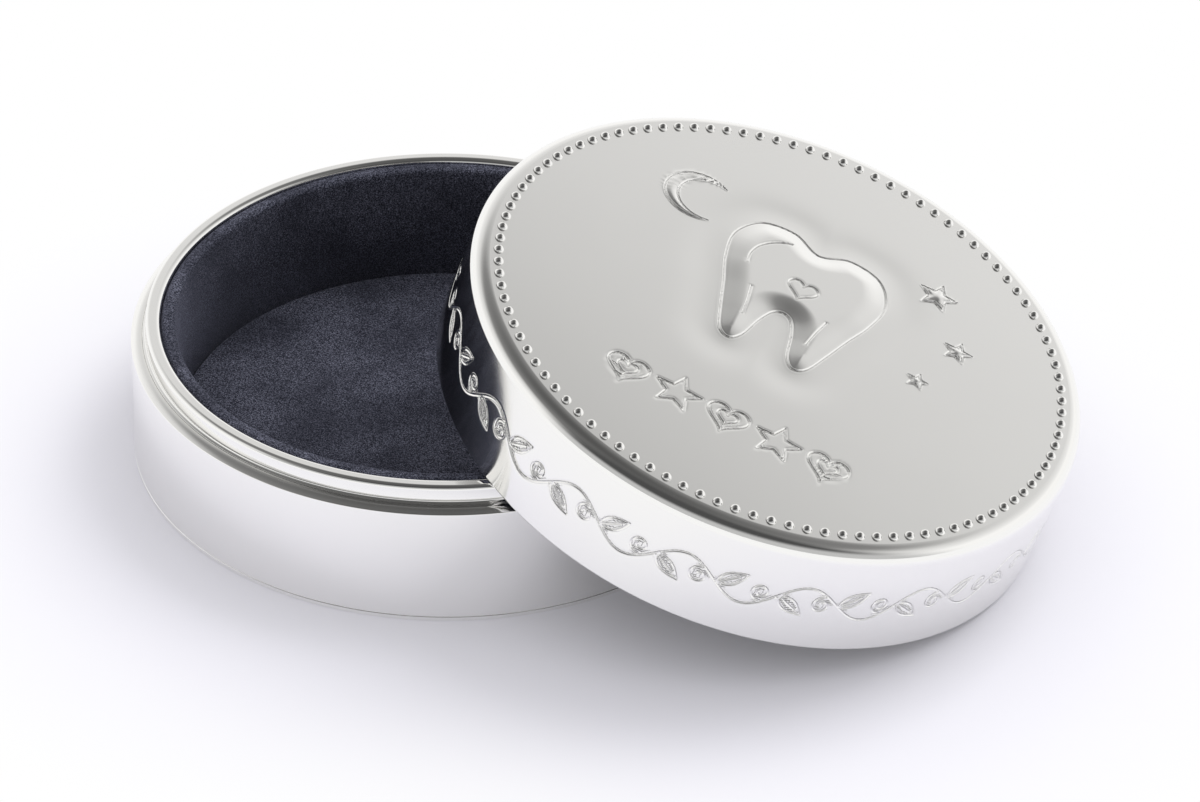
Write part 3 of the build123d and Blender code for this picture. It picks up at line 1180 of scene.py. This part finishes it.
    def beads(self) -> None:
        """The struck beads in one ring: each rises as rise * (1 - (r / foot)^2) and is closed below."""
        sides, rings = self.bead_sides, self.bead_rings
        foot = self.bead_diameter / 2
        rise = foot - self.bead_sink
        reach = foot * np.linspace(0, 1, rings + 1)[1:]
        swell = rise * (1 - (reach / foot) ** 2)
        swell[-1] = -self.bead_sink
        dome = turn_points(np.stack([reach, swell], axis=1), sides)
        dome = np.concatenate([dome, [[0, 0, rise], [0, 0, -self.bead_sink]]])
        first = np.arange(sides)
        beside = (first + 1) % sides
        last = (rings - 1) * sides
        quads = ring_quads(rings, sides, False)[:, ::-1]
        cap = np.stack([np.full(sides, len(dome) - 2), first, beside], axis=1)
        under = np.stack([np.full(sides, len(dome) - 1), last + beside, last + first], axis=1)
        fans = np.concatenate([cap, under])
        numbers = np.arange(self.bead_count)
        angles = math.radians(self.bead_start_angle) + numbers * 2 * math.pi / self.bead_count
        centres = np.stack([np.cos(angles), np.sin(angles), np.ones(len(angles))], axis=1)
        centres *= [self.bead_circle, self.bead_circle, self.face_height(self.bead_circle)]
        points = (centres[:, None, :] + dome[None]).reshape(-1, 3)
        shift = (numbers * len(dome))[:, None, None]
        piece = add_piece(
            "bead_border",
            self.place.to_metres(points),
            (quads[None] + shift).reshape(-1, 4),
            (fans[None] + shift).reshape(-1, 3),
        )
        dress(piece, self.finishes.bead, "lid", "lid_shell")

    def lining(self) -> None:
        """The lid's velvet, over its card and round the card's edge."""
        piece, cut = disc_lining("lid_velvet_pile", "lid", self.place, self.lining_round, False)
        dress(piece, self.finishes.velvet, "lid", "lid_velvet")

    def build(self) -> None:
        """Builds every piece of the lid."""
        self.face()
        self.skirt()
        self.beads()
        self.lining()
        wear(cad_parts["lid_board"], self.finishes.card)


# The studio


def stand(thing: bpy.types.Object, *columns: np.ndarray) -> None:
    """Puts a camera or lamp in the scene, from its own x, y and z axes and its place."""
    bpy.context.scene.collection.objects.link(thing)
    matrix = np.eye(4)
    matrix[:3] = np.stack(columns, axis=1)
    thing.matrix_world = matrix.T.tolist()


def unit(vector: np.ndarray) -> np.ndarray:
    """The vector at length 1."""
    return vector / np.linalg.norm(vector)


@dataclass(frozen=True)
class Studio:
    """A white table and backdrop, a soft lamp from behind, and the camera."""

    azimuth: float = 19.111
    elevation: float = 34.694
    distance: float = 0.59996
    aim: tuple[float, float, float] = (0.01189, 0.0108, 0.0)
    roll: float = 1.2034
    lens: float = 185.09
    sensor: float = 36.0
    table_half: float = 4.0
    table_drop: float = 0.00002
    shadow_middles: tuple[tuple[float, float, float], ...] = ((-0.002, -0.009, 0.0), (0.034, -0.0065, 0.0))
    shadow_blend: float = 0.02
    shadow_reach: tuple[float, float] = (0.028, 0.057)
    backdrop: tuple[tuple[float, float], ...] = (
        (0.0, 1.0),
        (0.28, 1.0),
        (0.54, 0.76),
        (0.61, 0.665),
        (0.645, 0.55),
        (0.69, 0.42),
        (0.75, 0.24),
        (1.0, 0.09),
    )
    lamp_place: tuple[float, float, float] = (0.42, 0.36, 0.75)
    lamp_size: float = 0.55
    lamp_power: float = 2.8

    def toward_camera(self) -> np.ndarray:
        """The unit vector from the aim to the camera."""
        turn, lift = math.radians(self.azimuth), math.radians(self.elevation)
        return np.array([math.sin(turn) * math.cos(lift), -math.cos(turn) * math.cos(lift), math.sin(lift)])

    def camera(self) -> None:
        """The camera, at the photograph's place, looking at the aim."""
        data = bpy.data.cameras.new("camera")
        data.lens = self.lens
        data.sensor_width = self.sensor
        data.clip_start = 0.01
        camera = bpy.data.objects.new("camera", data)
        back = self.toward_camera()
        right = unit(np.cross(-back, [0, 0, 1]))
        up = np.cross(back, right)
        spin = math.radians(self.roll)
        cosine, sine = math.cos(spin), math.sin(spin)
        place = np.array(self.aim) + back * self.distance
        stand(camera, right * cosine + up * sine, up * cosine - right * sine, back, place)
        bpy.context.scene.camera = camera

    def floor(self) -> None:
        """The table: white far off, and near the box pale, with a painted lavender shade tint, where it keeps
        the lamp's soft shadow.
        """
        corners = np.array([[-1, -1, 0], [1, -1, 0], [1, 1, 0], [-1, 1, 0]]) * self.table_half
        floor = add_piece("table", corners - [0, 0, self.table_drop], np.array([[0, 1, 2, 3]]))
        made, nodes, shader = new_material("table_white")
        nodes.tree.nodes.remove(shader)
        place = nodes.add("TexCoord").outputs["Object"]
        reaches = []
        for middle in self.shadow_middles:
            centred = nodes.vector("SUBTRACT", place, middle).outputs[0]
            reaches.append(nodes.vector("LENGTH", centred).outputs["Value"])
        away = nodes.math("SMOOTH_MIN", *reaches, self.shadow_blend)
        white = nodes.remap(away, *self.shadow_reach, 0.06, 1.0)
        # The lavender of this colour is a painted shade tint, seen only near the box where the shadow falls.
        lit = nodes.add("BsdfDiffuse", Color=(0.87, 0.86, 0.92, 1.0))
        glow = nodes.add("Emission", Color=(1.0, 1.0, 1.0, 1.0), Strength=1.0)
        path = nodes.add("LightPath")
        seen = nodes.math("MAXIMUM", path.outputs["Is Camera Ray"], path.outputs["Is Glossy Ray"])
        share = nodes.math("MULTIPLY", white, seen)
        mix = nodes.add("MixShader", Fac=share)
        nodes.put(mix.inputs[1], lit.outputs[0])
        nodes.put(mix.inputs[2], glow.outputs[0])
        nodes.put(nodes.tree.nodes["Material Output"].inputs[0], mix.outputs[0])
        floor.data.materials.append(made)

    def surroundings(self) -> None:
        """What the silver mirrors: a backdrop that dims upwards to a dark ceiling, and a greyer front side.

        To the camera the surroundings are white.
        """
        world = bpy.data.worlds.new("studio")
        bpy.context.scene.world = world
        world.use_nodes = True
        nodes = Nodes(world.node_tree)
        direction = nodes.add("TexCoord").outputs["Generated"]
        height = nodes.add("SeparateXYZ", Vector=direction).outputs["Z"]
        turn = math.radians(self.azimuth)
        back = nodes.vector("DOT_PRODUCT", direction, (-math.sin(turn), math.cos(turn), 0.0)).outputs["Value"]
        ramp = nodes.add("ValToRGB", Fac=height)
        while len(ramp.color_ramp.elements) < len(self.backdrop):
            ramp.color_ramp.elements.new(0.5)
        for element, (position, level) in zip(ramp.color_ramp.elements, self.backdrop):
            element.position = position
            element.color = (level, level * 0.995, level * 0.985, 1.0)
        open_side = nodes.remap(back, -0.55, -0.15)
        risen = nodes.remap(height, 0.3, 0.62)
        front = nodes.blend(risen, (0.55, 0.55, 0.55, 1.0), (0.07, 0.07, 0.07, 1.0))
        mirrored = nodes.blend(open_side, front, ramp.outputs[0])
        path = nodes.add("LightPath")
        soft = nodes.blend(path.outputs["Is Glossy Ray"], (0.9, 0.9, 0.91, 1.0), mirrored)
        colour = nodes.blend(path.outputs["Is Camera Ray"], soft, (1.0, 1.0, 1.0, 1.0))
        nodes.fill(world.node_tree.nodes["Background"], Color=colour, Strength=1.0)

    def lamp(self) -> None:
        """A soft square lamp that looks at the box and isn't mirrored in it.

        Its place is in metres to the right of, behind and above the box, seen from the camera.
        """
        data = bpy.data.lights.new("back_lamp", "AREA")
        data.size = self.lamp_size
        data.energy = self.lamp_power
        lamp = bpy.data.objects.new("back_lamp", data)
        turn = math.radians(self.azimuth)
        cosine, sine = math.cos(turn), math.sin(turn)
        sides = np.array([[cosine, sine, 0.0], [-sine, cosine, 0.0], [0.0, 0.0, 1.0]])
        spot = np.array(self.lamp_place) @ sides
        away = unit(spot)
        side = unit(np.cross([0.0, 0.0, 1.0], away))
        stand(lamp, side, np.cross(away, side), away, spot)
        lamp.visible_glossy = False

    def build(self) -> None:
        """Sets up the camera, the table, the surroundings and the lamp."""
        self.camera()
        self.floor()
        self.surroundings()
        self.lamp()
        bpy.context.scene.view_settings.view_transform = "Standard"


def main() -> None:
    """Builds the box and its studio."""
    logging.basicConfig(level=logging.INFO, format="%(message)s")
    Studio().build()
    finishes = Finishes()
    Base(finishes).build()
    Lid(finishes).build()
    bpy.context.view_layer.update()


if __name__ == "__main__":
    main()
